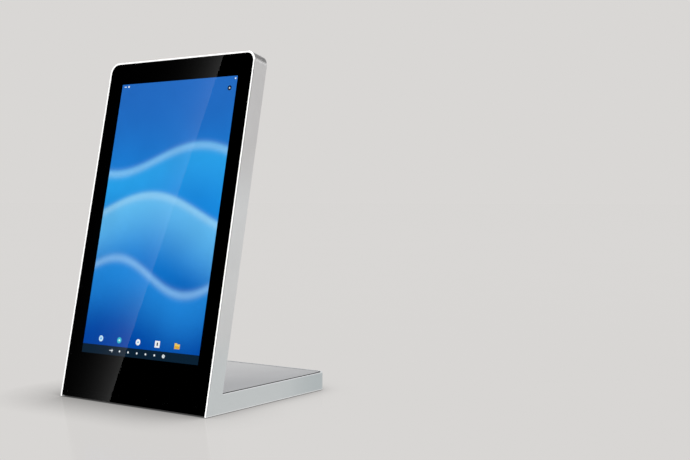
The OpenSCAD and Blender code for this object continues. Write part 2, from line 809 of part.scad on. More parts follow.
module speaker_boxes() {
    color([0.07, 0.07, 0.08]) for (side = [-1, 1]) head() difference() {
        translate([side * speaker_x - speaker_w / 2, plate_n, speaker_v - speaker_h / 2])
            cube([speaker_w, speaker_n - plate_n, speaker_h]);
        translate([side * speaker_x, speaker_n - 2, speaker_v]) rotate([-90, 0, 0])
            cylinder(r = cone_r + 0.1, h = 3);
    }
}

module speaker_cones() {
    color([0.25, 0.25, 0.27]) for (side = [-1, 1]) head()
        translate([side * speaker_x, speaker_n - 2, speaker_v]) rotate([-90, 0, 0]) union() {
            cylinder(r = cone_r, h = cone_t);
            translate([0, 0, cone_t / 2]) cylinder(r1 = cone_r * 0.5, r2 = cone_r * 0.3, h = cone_t);
        }
}

lead_r = 0.7;
lead_z = floor_z + 1.6;
// Headers on the main board: middle x and width of each
header_x = [-42, -18, 4, 13, 22, 30];
header_w = [6, 26, 6, 5, 5, 5];

// The last stretch of a lead, up over the board's front edge and square into its header
function into_header(k) = let (x = header_x[k]) [
    [x, board_front - 6, board_top], [x, board_front, board_top + 2],
    [x, header_y[0] - 4, board_top + 1.5], [x, header_y[0] - lead_gap, board_top + 1.5]];
lead_gap = 0.05;

module speaker_leads() {
    for (side = [-1, 1]) {
        start = side * (speaker_x - speaker_w / 2);
        x = side < 0 ? header_x[0] - 2 : header_x[3] + 17;
        color([0.6, 0.05, 0.05]) lead(concat([
            head_point(start - side * lead_gap, plate_n + 2.5, speaker_v),
            head_point(start - side * 3, plate_n + 2.5, speaker_v),
            head_point(start - side * 3, plate_n + 3.4, speaker_v - speaker_h),
            head_point(x, plate_n + 3.4, tray_low - 8), head_point(x, plate_n + 3.4, crossbar_h + 4),
            [x, front_y + 52, lead_z], [side < 0 ? x : x - 8, board_front - 26, lead_z]],
            into_header(side < 0 ? 0 : 3)), lead_r);
    }
}

module touch_lead() {
    x = controller_x[1] - 2.5;
    color([0.12, 0.12, 0.12]) lead(concat([
        head_point(x, plate_n + 2, controller_v[0] - lead_gap), head_point(x, plate_n + 2.6, controller_v[0] - 6),
        head_point(x, plate_n + 3.4, tray_low - 8), head_point(x, plate_n + 3.4, crossbar_h + 4),
        [x - 4, front_y + 50, lead_z], [8, board_front - 26, lead_z]], into_header(2)), lead_r);
}

antenna_x = [40, 86];
antenna_v = [screen_top + sensor_margin / 2 + 2, cavity_top - tape_w - 3];
module wifi_antenna() {
    color([0.1, 0.25, 0.2])
        head_block(antenna_x[0], antenna_x[1], print_n, print_n + 0.8, antenna_v[0], antenna_v[1]);
}

module antenna_lead() {
    x = tray_hw + 0.5;
    v = (antenna_v[0] + antenna_v[1]) / 2;
    color([0.2, 0.2, 0.2]) lead(concat([
        head_point(antenna_x[1] + lead_gap, print_n + 1.4, v), head_point(antenna_x[1] + 4, print_n + 1.8, v),
        head_point(antenna_x[1] + 9, plate_n + 2, v), head_point(x, plate_n + 3.4, tray_high - 20),
        head_point(x, plate_n + 3.4, speaker_v), head_point(x, plate_n + 3.4, tray_low - 8),
        head_point(x, plate_n + 3.4, crossbar_h + 4), [x - 1, front_y + bracket_leg_y + 3, lead_z],
        [66, max(board_front - 28, front_y + bracket_leg_y + 5), lead_z], [44, board_front - 16, lead_z]], into_header(4)), lead_r);
}

// ---------- Main board ----------

module main_board() {
    color(board_colour) translate([0, 0, board_z]) linear_extrude(pcb_t) difference() {
        translate([board_x, board_front]) square([board_w, board_d]);
        for (p = standoff_places) translate(p) circle(clear_r);
    }
}

module board_standoffs() {
    color([0.8, 0.68, 0.35]) for (p = standoff_places) translate([p[0], p[1], floor_z]) difference() {
        cylinder(r = standoff_r, h = standoff_h, $fn = 6);
        translate([0, 0, -past]) cylinder(r = tapped_r, h = standoff_h + 2 * past);
    }
}

module board_screws() {
    color(steel_colour) for (p = standoff_places)
        translate([p[0], p[1], board_top]) pan_screw(pcb_t + standoff_h);
}

chip_h = 1.2;
chip_x = board_x + board_w * 0.52;
chip_y = board_front + board_d * 0.5;
module board_chips() {
    color([0.06, 0.06, 0.07]) {
        translate([chip_x - 8, chip_y - 8, board_top]) cube([16, 16, chip_h]);
        for (k = [0:1]) translate([chip_x - 12 + 13 * k, chip_y - 32, board_top]) cube([11, 9, chip_h]);
        translate([chip_x - 50, chip_y - 6, board_top]) cube([12, 14, chip_h]);
        translate([chip_x - 50, chip_y - 28, board_top]) cube([9, 9, 3]);
        for (k = [0:2]) translate([chip_x - 54 + 10 * k, chip_y - 40, board_top]) cylinder(r = 3.1, h = 7);
    }
}

sink_w = 56;
sink_d = 44;
sink_h = 9;
fin_t = 1.2;
fin_count = 12;
module heat_sink() {
    base_h = 2;
    color([0.16, 0.16, 0.17]) translate([chip_x - sink_w / 2, chip_y - sink_d * 0.4, board_top + chip_h]) union() {
        cube([sink_w, sink_d, base_h]);
        for (k = [0:fin_count - 1])
            translate([k * (sink_w - fin_t) / (fin_count - 1), 0, base_h / 2])
                cube([fin_t, sink_d, sink_h - base_h / 2]);
    }
}

module board_headers() {
    color([0.9, 0.88, 0.8]) for (k = [0:len(header_x) - 1])
        block([header_x[k] - header_w[k] / 2, header_y[0], board_top],
            [header_x[k] + header_w[k] / 2, header_y[1], board_top + 3]);
}

// ---------- Ports ----------

// A box round a port: size holds its middle x, width, depth and height
module port_block(size, grow, y0, y1) {
    block([size[0] - size[1] / 2 - grow, y0, board_top - grow],
        [size[0] + size[1] / 2 + grow, y1, board_top + size[3] + grow]);
}

module port_plate() {
    mid_z = (floor_z + foot_top) / 2;
    color(steel_colour) difference() {
        block([plate_x[0], port_back, floor_z + 0.2], [plate_x[1], rear_in, foot_top - 1]);
        for (size = port_sizes) port_block(size, port_gap, port_back - past, rear_in + past);
        for (x = [plate_x[0] + 3, plate_x[1] - 3])
            rear_rod(x, mid_z, clear_r, port_back - past, rear_in + past);
    }
}

module port_plate_screws() {
    color(steel_colour) for (x = [plate_x[0] + 3, plate_x[1] - 3])
        translate([x, port_back, (floor_z + foot_top) / 2]) rotate([90, 0, 0])
            pan_screw(port_plate_t + frame_wall - 0.8);
}

// A socket hollow in a port, its width, height and depth counted in from the port's face
module socket(size, width, height, depth, z) {
    block([size[0] - width / 2, port_face - depth, board_top + z],
        [size[0] + width / 2, port_face + past, board_top + z + height]);
}

module dc_jack() {
    mid_z = board_top + dc_size[3] / 2;
    color([0.07, 0.07, 0.07]) difference() {
        port_block(dc_size, 0, port_face - dc_size[2], port_face);
        rear_rod(dc_size[0], mid_z, 3.2, port_face - 10, port_face + past);
    }
    color(steel_colour) rear_rod(dc_size[0], mid_z, 1, port_face - 10 - bite, port_face - 1);
}

module hdmi_port() {
    color(steel_colour) difference() {
        port_block(hdmi_size, 0, port_face - hdmi_size[2], port_face);
        socket(hdmi_size, 14, 4.6, 9, 0.8);
    }
    color([0.08, 0.08, 0.08]) block([hdmi_size[0] - 5.5, port_face - 9.5, board_top + 2.6],
        [hdmi_size[0] + 5.5, port_face - 2, board_top + 3.6]);
}

module usb_ports() {
    for (size = usb_size) {
        color(steel_colour) difference() {
            port_block(size, 0, port_face - size[2], port_face);
            socket(size, 12.4, 5.2, 10, 0.5);
        }
        color([0.1, 0.1, 0.12]) block([size[0] - 5.5, port_face - 10.5, board_top + 3.4],
            [size[0] + 5.5, port_face - 1.2, board_top + 5.1]);
    }
}

module ethernet_port() {
    color(steel_colour) difference() {
        port_block(lan_size, 0, port_face - lan_size[2], port_face);
        socket(lan_size, 11.8, 7.4, 12.5, 2.9);
        socket(lan_size, 6, 3, 12.5, 1.2);
    }
}

// ---------- Buttons ----------

bracket_hole_x = [button_x[0] + 2, button_x[2] - 2];
bracket_hole_y = rear_in - 21;
sheet_t = 1.2;
board_in = switch_in[1] + pcb_t;
module button_bracket() {
    x0 = button_x[0] - 8;
    x1 = button_x[2] + 8;
    back = rear_in - board_in;
    color(steel_colour) difference() {
        union() {
            block([x0, back - sheet_t, floor_z], [x1, back, foot_top - 4]);
            block([x0, back - 16, floor_z], [x1, back, floor_z + sheet_t]);
        }
        for (x = bracket_hole_x) translate([x, bracket_hole_y, floor_z - past])
            cylinder(r = clear_r, h = sheet_t + 2 * past);
    }
}

module button_bracket_screws() {
    color(steel_colour) for (x = bracket_hole_x)
        translate([x, bracket_hole_y, floor_z + sheet_t]) pan_screw(sheet_t + bottom_t);
}

module button_board() {
    color(board_colour) block([button_x[0] - 8, rear_in - board_in, floor_z + 1.4],
        [button_x[2] + 8, rear_in - switch_in[1], foot_top - 4]);
}

module tact_switches() {
    color([0.12, 0.12, 0.13]) for (x = button_x) difference() {
        block([x - switch_w / 2, rear_in - switch_in[1], button_z - switch_w / 2],
            [x + switch_w / 2, rear_in - switch_in[0], button_z + switch_w / 2]);
        rear_rod(x, button_z, plunger_r + 0.1, rear_in - plunger_in - button_travel - 0.3, rear_in);
    }
}

module button_lead() {
    x = button_x[0] - 8;
    y = rear_in - board_in + pcb_t / 2;
    color([0.12, 0.12, 0.12]) lead(concat([
        [x - lead_gap, y, floor_z + 6], [x - 2, y, floor_z + 6],
        [x - 4, y - 8, floor_z + 4], [x - 4, board_back - 36, lead_z], [x - 4, board_front + 12, lead_z],
        [x - 4, board_front - 3, lead_z + 1]], into_header(5)), lead_r);
}

// A round cap through the rear wall, its retaining flange inside, and its stem
module button_cap(x, r) {
    edge = 0.4;
    color([0.14, 0.14, 0.15]) union() {
        rear_rod(x, button_z, r, rear_in - flange_gap - flange_t / 2, rear_y + button_proud - edge);
        translate([x, rear_y + button_proud - edge, button_z]) rotate([-90, 0, 0])
            cylinder(r1 = r, r2 = r - edge, h = edge);
        rear_rod(x, button_z, r + 1.1, rear_in - flange_gap - flange_t, rear_in - flange_gap);
        rear_rod(x, button_z, stem_r, rear_in - stem_in, rear_in - flange_gap - flange_t / 2);
    }
}

module button_plunger(x) {
    color([0.85, 0.85, 0.82]) rear_rod(x, button_z, plunger_r, rear_in - plunger_in, rear_in - stem_in);
}

module power_button() { button_cap(button_x[0], power_r); }
module power_plunger() { button_plunger(button_x[0]); }
module volume_up_button() { button_cap(button_x[1], volume_r); }
module volume_up_plunger() { button_plunger(button_x[1]); }
module volume_down_button() { button_cap(button_x[2], volume_r); }
module volume_down_plunger() { button_plunger(button_x[2]); }

outer_frame();
cover_glass();
border_print();
glass_tape();
touch_sensor();
display_gasket();
lcd_cell();
optical_films();
light_guide();
led_bar();
backlight_tray();
lcd_driver_board();
display_plate();
display_plate_screws();
back_cover();
back_cover_screws();
base_top_cover();
top_cover_screws();
base_bottom_plate();
bottom_plate_screws();
rubber_feet();
fixing_inserts();
corner_brackets();
bracket_screws();
touch_controller();
touch_flex();
touch_lead();
display_cable();
speaker_boxes();
speaker_cones();
speaker_leads();
wifi_antenna();
antenna_lead();
main_board();
board_standoffs();
board_screws();
board_chips();
heat_sink();
board_headers();
port_plate();
port_plate_screws();
dc_jack();
hdmi_port();
usb_ports();
ethernet_port();
button_bracket();
button_bracket_screws();
button_board();
tact_switches();
button_lead();
power_button();
power_plunger();
volume_up_button();
volume_up_plunger();
volume_down_button();
volume_down_plunger();
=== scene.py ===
import math

import bpy
from mathutils import Matrix, Vector

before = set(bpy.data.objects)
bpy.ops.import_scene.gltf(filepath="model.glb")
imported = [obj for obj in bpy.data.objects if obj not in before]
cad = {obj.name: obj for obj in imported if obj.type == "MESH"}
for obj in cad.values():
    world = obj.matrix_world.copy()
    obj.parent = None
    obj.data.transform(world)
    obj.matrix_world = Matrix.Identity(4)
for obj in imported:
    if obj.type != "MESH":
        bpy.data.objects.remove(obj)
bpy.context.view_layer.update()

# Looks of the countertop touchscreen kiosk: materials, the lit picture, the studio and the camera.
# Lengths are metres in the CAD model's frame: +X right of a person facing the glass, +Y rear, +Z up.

scene = bpy.context.scene
scene.view_settings.view_transform = "Standard"

MM = 0.001


# ---------- Places, all taken from the CAD model ----------

def corners(node):
    return [v.co.copy() for v in cad[node].data.vertices]


front_face = max((p for p in cad["cover_glass"].data.polygons if p.normal.y < -0.5),
                 key=lambda p: p.area)
OUT = front_face.normal.copy()            # straight out of the glass
UP = Vector((0, OUT.z, -OUT.y))           # up along the glass
GLASS_POINT = cad["cover_glass"].data.vertices[front_face.vertices[0]].co.copy()
FRAME_FRONT = max(co.dot(OUT) for co in corners("outer_frame"))
HALF_WIDTH = max(co.x for co in corners("outer_frame"))
HEAD_TOP = max(co.dot(UP) for co in corners("outer_frame"))
HEAD_BACK = -min(co.dot(OUT) for co in corners("back_cover"))
LID_HALF = max(co.x for co in corners("base_top_cover") if co.y > 0)
FOOT_LOW = min(co.z for co in corners("outer_frame"))
FOOT_TOP = max(co.z for co in corners("base_top_cover"))

WINDOW_HALF = min(abs(co.x) for co in corners("border_print"))
window = [co for co in corners("border_print") if abs(abs(co.x) - WINDOW_HALF) < 0.1 * MM]
WINDOW_LOW = min(co.dot(UP) for co in window)
WINDOW_HIGH = max(co.dot(UP) for co in window)
CELL_FRONT = max(co.dot(OUT) for co in corners("lcd_cell"))


# ---------- A small way to write shader maths as expressions ----------

def linear(r, g, b):
    """A colour given as it looks on a monitor, from 0 to 255, as the linear values that shaders use."""
    return tuple((c / 255 / 12.92 if c <= 10 else ((c / 255 + 0.055) / 1.055) ** 2.4)
                 for c in (r, g, b)) + (1.0,)


class Value:
    """A number that changes over a surface: arithmetic on it adds Math nodes."""

    def __init__(self, paint, socket):
        self.paint, self.socket = paint, socket

    def _math(self, operation, *others, clamp=False):
        node = self.paint.nodes.new("ShaderNodeMath")
        node.operation, node.use_clamp = operation, clamp
        for socket, value in zip(node.inputs, (self,) + others):
            self.paint.feed(socket, value)
        return Value(self.paint, node.outputs[0])

    def __add__(self, other): return self._math("ADD", other)
    def __radd__(self, other): return self._math("ADD", other)
    def __sub__(self, other): return self._math("SUBTRACT", other)
    def __rsub__(self, other): return (self * -1) + other
    def __mul__(self, other): return self._math("MULTIPLY", other)
    def __rmul__(self, other): return self._math("MULTIPLY", other)
    def __truediv__(self, other): return self._math("DIVIDE", other)
    def __neg__(self): return self * -1
    def abs(self): return self._math("ABSOLUTE")
    def clamp(self): return self._math("ADD", 0.0, clamp=True)
    def power(self, k): return self._math("POWER", k)
    def max(self, other): return self._math("MAXIMUM", other)
    def exp(self): return self._math("EXPONENT")
    def sqrt(self): return self._math("SQRT")
    def sine(self): return self._math("SINE")

    def step(self, low, high):
        """0 below low and 1 above high, smooth between."""
        node = self.paint.nodes.new("ShaderNodeMapRange")
        node.interpolation_type = "SMOOTHSTEP"
        self.paint.feed(node.inputs["Value"], self)
        node.inputs["From Min"].default_value = min(low, high)
        node.inputs["From Max"].default_value = max(low, high)
        node.inputs["To Min"].default_value = 0.0 if low < high else 1.0
        node.inputs["To Max"].default_value = 1.0 if low < high else 0.0
        return Value(self.paint, node.outputs["Result"])

    def bell(self, middle, width):
        """1 at middle, falling off over width on both sides."""
        away = (self - middle) / width
        return (away * away * -1).exp()


class Paint:
    """One material or world, and the nodes that fill it."""

    def __init__(self, tree):
        self.tree, self.nodes, self.links = tree, tree.nodes, tree.links

    def feed(self, socket, value):
        if isinstance(value, Value):
            self.links.new(value.socket, socket)
        elif isinstance(value, bpy.types.NodeSocket):
            self.links.new(value, socket)
        else:
            socket.default_value = value

    def place(self):
        """The object's own coordinates, which are the CAD model's metres."""
        return self.nodes.new("ShaderNodeTexCoord").outputs["Object"]

    def along(self, direction, start=0.0):
        """How far a surface point lies along a direction, counted from start."""
        node = self.nodes.new("ShaderNodeVectorMath")
        node.operation = "DOT_PRODUCT"
        self.links.new(self.place(), node.inputs[0])
        node.inputs[1].default_value = direction
        return Value(self, node.outputs["Value"]) - start

    def noise(self, size, detail=2.0, stretch=(1, 1, 1), rough=0.5):
        """Noise between 0 and 1 whose grains are about size across."""
        mapping = self.nodes.new("ShaderNodeMapping")
        mapping.inputs["Scale"].default_value = [1 / (size * s) for s in stretch]
        self.links.new(self.place(), mapping.inputs["Vector"])
        node = self.nodes.new("ShaderNodeTexNoise")
        node.inputs["Scale"].default_value = 1.0
        node.inputs["Detail"].default_value = detail
        node.inputs["Roughness"].default_value = rough
        self.links.new(mapping.outputs["Vector"], node.inputs["Vector"])
        return Value(self, node.outputs["Fac"])

    def mix(self, share, low, high):
        """Between two colours."""
        node = self.nodes.new("ShaderNodeMix")
        node.data_type = "RGBA"
        self.feed(node.inputs["Factor"], share)
        self.feed(node.inputs["A"], low)
        self.feed(node.inputs["B"], high)
        return node.outputs["Result"]

    def bump(self, height, depth):
        node = self.nodes.new("ShaderNodeBump")
        node.inputs["Distance"].default_value = depth
        node.inputs["Strength"].default_value = 1.0
        self.feed(node.inputs["Height"], height)
        return node.outputs["Normal"]


def material(name, **settings):
    """A new material with a Principled shader, and its Paint."""
    made = bpy.data.materials.new(name)
    made.use_nodes = True
    paint = Paint(made.node_tree)
    shader = made.node_tree.nodes["Principled BSDF"]
    for key, value in settings.items():
        shader.inputs[key.replace("_", " ")].default_value = value
    paint.shader = shader
    return made, paint


def put(made, *nodes):
    for name in nodes:
        data = cad[name].data
        data.materials.clear()
        data.materials.append(made)


# ---------- Materials ----------

METALLIC = 0.92             # anodised metal, a little less than pure
POLISH_DEPTH = 0.45 * MM    # the polished cut and its painted highlight reach this far back from the front edge
BEVEL = 0.43 * MM           # the outer bevel, which stays blasted
BROKEN_EDGE_HIGHLIGHT = 1.0 * MM      # height of the broken edge along the foot, with its painted highlight
GAP_SHADOW_WIDTH = 1.35 * MM     # painted shadow: dark border of the foot's cover along its gap, on the right side
SOFT = 0.05 * MM            # half the width over which the polish fades out
GLASS_IOR = 1.47


def blasted_aluminium(name, tone, rim=False, painted_gap_shadow=False, painted_light_fades=()):
    """Bead-blasted and anodised: a fine even grain and slow random changes of tone, with optional painted
    highlights, a painted gap shadow and painted tone changes for light and shade.
    """
    made, paint = material(name, Metallic=METALLIC)
    grain = paint.noise(0.35 * MM, detail=3)
    cloud = paint.noise(60 * MM, detail=2)
    # Painted light and shade: the tone changes from one end to the other
    for toward, low, high, other in painted_light_fades:
        tone = paint.mix(paint.along(toward).step(low, high), tone, other)
    light = paint.mix(cloud.step(0.3, 0.7) * 0.03, tone, (0, 0, 0, 1))
    light = paint.mix(grain.step(0.35, 0.75) * 0.035, light, (0, 0, 0, 1))
    rough = 0.30 + 0.08 * grain + 0.04 * cloud
    if rim:
        # The cut front edge is polished and painted near-white as a highlight, and the foot's long edges
        # are broken and brighter with a painted highlight
        side = HALF_WIDTH - BEVEL
        polished_highlight = (paint.along(OUT, FRAME_FRONT - POLISH_DEPTH).step(-SOFT, SOFT)
                    * paint.along((1, 0, 0)).abs().step(side + SOFT, side - SOFT)
                    * paint.along(UP, HEAD_TOP - BEVEL).step(SOFT, -SOFT))
        height = paint.along((0, 0, 1))
        behind = paint.along(-OUT, HEAD_BACK).step(0, 0.5 * MM)
        broken_edge_highlight = (height.step(FOOT_LOW + BROKEN_EDGE_HIGHLIGHT + 0.2 * MM, FOOT_LOW + BROKEN_EDGE_HIGHLIGHT - 0.2 * MM)
                  + height.bell(FOOT_TOP, 0.5 * MM) * behind).clamp()
        light = paint.mix(broken_edge_highlight * 0.8, light, linear(246, 248, 250))
        light = paint.mix(polished_highlight, light, linear(253, 253, 252))
        rough = rough * (1 - polished_highlight) + 0.22 * polished_highlight
        paint.feed(paint.shader.inputs["Metallic"],
                   METALLIC - 0.82 * polished_highlight - 0.45 * broken_edge_highlight * (1 - polished_highlight))
    if painted_gap_shadow:
        # Painted shadow in the gap: the sheet's cut edge is painted black where it faces the gap, and so
        # is its border on the right
        split = paint.nodes.new("ShaderNodeSeparateXYZ")
        paint.links.new(paint.nodes.new("ShaderNodeTexCoord").outputs["Normal"], split.inputs[0])
        edge = Value(paint, split.outputs[2]).abs().step(0.7, 0.4)
        border = paint.along((1, 0, 0), LID_HALF - GAP_SHADOW_WIDTH).step(-0.15 * MM, 0.15 * MM)
        edge = edge.max(border)
        light = paint.mix(edge, light, linear(24, 24, 26))
        rough = rough * (1 - edge) + 0.7 * edge
        paint.feed(paint.shader.inputs["Metallic"], METALLIC * (1 - edge))
    paint.feed(paint.shader.inputs["Base Color"], light)
    paint.feed(paint.shader.inputs["Roughness"], rough)
    paint.feed(paint.shader.inputs["Normal"], paint.bump(grain, 0.012 * MM))
    return made


def brushed_metal(name, tone, roughness, stretch=(30, 1, 1), metallic=0.95):
    """Sheet or turned metal with fine lines along one direction."""
    made, paint = material(name, Metallic=metallic)
    lines = paint.noise(0.25 * MM, detail=3, stretch=stretch)
    cloud = paint.noise(25 * MM)
    light = paint.mix(lines.step(0.3, 0.7) * 0.5, tone, tuple(c * 0.82 for c in tone[:3]) + (1,))
    light = paint.mix(cloud.step(0.35, 0.75) * 0.4, light, tuple(c * 0.92 for c in tone[:3]) + (1,))
    paint.feed(paint.shader.inputs["Base Color"], light)
    paint.feed(paint.shader.inputs["Roughness"], roughness + 0.12 * lines)
    paint.feed(paint.shader.inputs["Normal"], paint.bump(lines, 0.008 * MM))
    return made


def moulded(name, tone, roughness, grain_size=0.4 * MM, depth=0.02 * MM):
    """Moulded plastic or rubber: a fine pitted skin and slight tone changes."""
    made, paint = material(name)
    grain = paint.noise(grain_size, detail=4, rough=0.6)
    cloud = paint.noise(12 * MM)
    light = paint.mix(cloud.step(0.3, 0.7), tone, tuple(min(1, c * 1.25 + 0.004) for c in tone[:3]) + (1,))
    paint.feed(paint.shader.inputs["Base Color"], light)
    paint.feed(paint.shader.inputs["Roughness"], roughness + 0.15 * grain)
    paint.feed(paint.shader.inputs["Normal"], paint.bump(grain, depth))
    return made


def circuit_board(name, tone):
    """Solder mask over copper: faint straight traces and bare pads."""
    made, paint = material(name, Coat_Weight=0.3)
    across = paint.noise(1.1 * MM, detail=0, stretch=(12, 1, 1))
    down = paint.noise(1.1 * MM, detail=0, stretch=(1, 12, 1))
    trace = across.step(0.56, 0.60).max(down.step(0.58, 0.62))
    light = paint.mix(trace * 0.6, tone, tuple(min(1, c * 1.9 + 0.01) for c in tone[:3]) + (1,))
    paint.feed(paint.shader.inputs["Base Color"], light)
    paint.feed(paint.shader.inputs["Roughness"], 0.32 + 0.1 * trace)
    paint.feed(paint.shader.inputs["Normal"], paint.bump(trace, 0.03 * MM))
    return made


def clear_glass():
    """The cover glass: clear, with a very faint smudged tint."""
    made, paint = material("clear_glass", Transmission_Weight=1.0, IOR=GLASS_IOR, Roughness=0.0)
    smudge = paint.noise(45 * MM, detail=3, rough=0.6)
    paint.feed(paint.shader.inputs["Base Color"],
               paint.mix(smudge, linear(250, 253, 252), linear(253, 254, 254)))
    return made


def sensor_film():
    """The touch sensor's clear film."""
    made, paint = material("sensor_film", Transmission_Weight=1.0, IOR=GLASS_IOR, Roughness=0.0)
    film = paint.noise(30 * MM)
    paint.feed(paint.shader.inputs["Base Color"],
               paint.mix(film, linear(252, 253, 253), linear(254, 254, 254)))
    return made


def black_print():
    """The printed border behind the glass: matt black with the least speck."""
    made, paint = material("black_print", Specular_IOR_Level=0.0)
    speck = paint.noise(0.2 * MM, detail=2)
    paint.feed(paint.shader.inputs["Base Color"],
               paint.mix(speck.step(0.4, 0.8), linear(0, 0, 0), linear(3, 3, 4)))
    paint.feed(paint.shader.inputs["Roughness"], 0.7 + 0.2 * speck)
    return made


def lit_picture():
    """The panel's picture: blue with three soft waves, a row of plain icons and a dark bar."""
    made, paint = material("lit_picture", Base_Color=(0, 0, 0, 1), Roughness=0.5,
                           Specular_IOR_Level=0.0)
    height = WINDOW_HIGH - WINDOW_LOW
    s = paint.along((1, 0, 0)) / WINDOW_HALF          # -1 at the left edge, 1 at the right
    t = paint.along(UP, WINDOW_LOW) / height          # 0 at the bottom, 1 at the top

    def glow(base, colour, share):
        return paint.mix(share.clamp(), base, linear(*colour))

    # A blue ground, deeper toward the bottom
    picture = paint.mix(t.step(0.0, 1.0), linear(0, 60, 160), linear(40, 110, 200))
    picture = glow(picture, (20, 150, 240), t.bell(0.50, 0.30) * 0.7)

    # Three soft waves across it, each brightest just under its crest and fading out below
    waves = ((0.72, 0.05, 2.2, 0.4, (50, 180, 250)), (0.52, 0.07, 1.8, 1.9, (120, 210, 255)),
             (0.30, 0.06, 2.6, 3.2, (40, 150, 235)))
    for level, swing, turns, start, colour in waves:
        under = level + (s * turns + start).sine() * swing - t
        picture = glow(picture, colour, under.step(-0.010, 0.010) * under.step(0.28, 0.0) * 0.7)
        picture = glow(picture, (190, 230, 255), under.bell(0.012, 0.016) * 0.35)

    # A slow change of tone, so that no field is quite even
    mist = paint.noise(60 * MM, detail=1)
    picture = paint.mix(mist.step(0.3, 0.8) * 0.12, picture, linear(0, 40, 130))

    # Plain icons, in millimetres from the middle of the bottom edge
    x = paint.along((1, 0, 0)) / MM
    y = paint.along(UP, WINDOW_LOW) / MM

    def disc(cx, cy, r):
        away = ((x - cx) * (x - cx) + (y - cy) * (y - cy)).sqrt()
        return away.step(r + 0.25, r - 0.25)

    def box(cx, cy, w, h):
        return ((x - cx).abs().step(w / 2 + 0.2, w / 2 - 0.2)
                * (y - cy).abs().step(h / 2 + 0.2, h / 2 - 0.2))

    white = linear(238, 244, 250)
    picture = paint.mix(y.step(11.2, 10.9), picture, linear(13, 34, 52))

    # Seven marks in the dark bar
    mark_y, mark_left, mark_pitch, marks = 5.6, -47.6, 14.55, 7
    for k in range(marks):
        cx = mark_left + mark_pitch * k
        if k == 0:
            shape = box(cx, mark_y, 6.0, 0.9).max(box(cx + 1.5, mark_y, 0.9, 4.0))
        elif k == marks - 1:
            shape = disc(cx, mark_y, 2.2) * (1 - box(cx, mark_y, 0.7, 2.6))
        else:
            shape = disc(cx, mark_y, 1.25)
        picture = paint.mix(shape.clamp(), picture, white)

    # Five icons above it: three discs, a square and a folder, each with a plate and a mark
    dock_y, dock_left, dock_pitch = 18.9, -68.0, 31.8
    dock = (((196, 232, 255), (60, 150, 235)), ((60, 190, 215), (225, 250, 245)),
            ((245, 248, 252), (120, 180, 230)), ((245, 247, 250), (30, 40, 60)),
            ((243, 205, 96), (226, 170, 60)))
    for k, (outer, inner) in enumerate(dock):
        cx = dock_left + dock_pitch * k
        if k < 3:
            plate, mark = disc(cx, dock_y, 3.7), disc(cx, dock_y, 1.3)
        elif k == 3:
            plate, mark = box(cx, dock_y, 8.0, 8.0), box(cx, dock_y, 2.2, 4.0)
        else:
            plate = box(cx, dock_y - 0.4, 8.4, 5.6).max(box(cx - 2.4, dock_y + 2.8, 3.8, 1.4))
            mark = box(cx, dock_y - 1.4, 7.8, 2.8)
        picture = paint.mix(plate, picture, linear(*outer))
        picture = paint.mix(mark * plate, picture, linear(*inner))

    # Small marks in the upper corners
    top = height / MM
    for shape in (box(-92.5, top - 2.6, 3.6, 1.1), box(-86.5, top - 2.6, 2.4, 2.4),
                  box(92.0, top - 2.4, 2.2, 1.8)):
        picture = paint.mix(shape, picture, white)
    badge_x, badge_y = 84.6, top - 14.0
    picture = paint.mix(disc(badge_x, badge_y, 3.1), picture, linear(16, 30, 58))
    picture = paint.mix(disc(badge_x, badge_y, 1.0), picture, white)

    front = paint.along(OUT, CELL_FRONT).step(-0.3 * MM, -0.1 * MM)
    paint.feed(paint.shader.inputs["Emission Color"], paint.mix(front, (0, 0, 0, 1), picture))
    paint.shader.inputs["Emission Strength"].default_value = 1.15
    return made


# Painted light and shade: the frame's tone changes with height and toward the rear, and the lid is darker
# toward its right front; the lid also gets a painted shadow along its gap
put(blasted_aluminium("blasted_aluminium", linear(214, 213, 213), rim=True, painted_light_fades=(
    ((0, 0, -1), -0.31, -0.235, linear(229, 231, 232)), ((0, 0, -1), -0.10, -0.05, linear(223, 229, 231)),
    ((0, 1, 0), 0.0, 0.10, linear(206, 215, 218)))), "outer_frame")
put(blasted_aluminium("lid_aluminium", linear(230, 230, 231), painted_gap_shadow=True, painted_light_fades=(
    ((0.9, -0.4, 0), -0.06, 0.11, linear(198, 199, 202)),)), "base_top_cover")
put(blasted_aluminium("cover_aluminium", linear(222, 224, 226)), "back_cover")
put(clear_glass(), "cover_glass")
put(sensor_film(), "touch_sensor")
put(black_print(), "border_print")
put(lit_picture(), "lcd_cell")
put(moulded("foam_black", linear(28, 28, 30), 0.85, 0.5 * MM, 0.05 * MM), "glass_tape", "display_gasket")
put(moulded("film_white", linear(232, 235, 240), 0.55), "optical_films", "light_guide")
put(moulded("led_strip", linear(240, 236, 205), 0.5), "led_bar")
put(brushed_metal("zinc_sheet", linear(172, 174, 178), 0.34), "backlight_tray", "display_plate",
    "base_bottom_plate", "corner_brackets", "button_bracket")
put(brushed_metal("port_sheet", linear(70, 71, 74), 0.42), "port_plate")
put(brushed_metal("nickel_screw", linear(188, 188, 186), 0.25, (1, 1, 1)), "display_plate_screws",
    "back_cover_screws", "top_cover_screws", "bottom_plate_screws", "bracket_screws", "board_screws",
    "port_plate_screws", "button_bracket_screws")
put(brushed_metal("tinned_steel", linear(186, 187, 190), 0.22, (1, 1, 20)), "hdmi_port", "usb_ports",
    "ethernet_port")
put(brushed_metal("turned_brass", linear(205, 172, 96), 0.28, (1, 1, 1)), "fixing_inserts",
    "board_standoffs")
put(brushed_metal("black_anodised", linear(38, 39, 42), 0.45, (1, 20, 1), 0.6), "heat_sink")
put(moulded("rubber_black", linear(20, 20, 21), 0.8, 0.6 * MM, 0.06 * MM), "rubber_feet")
put(moulded("moulded_black", linear(17, 17, 19), 0.5), "speaker_boxes", "dc_jack", "board_chips",
    "tact_switches")
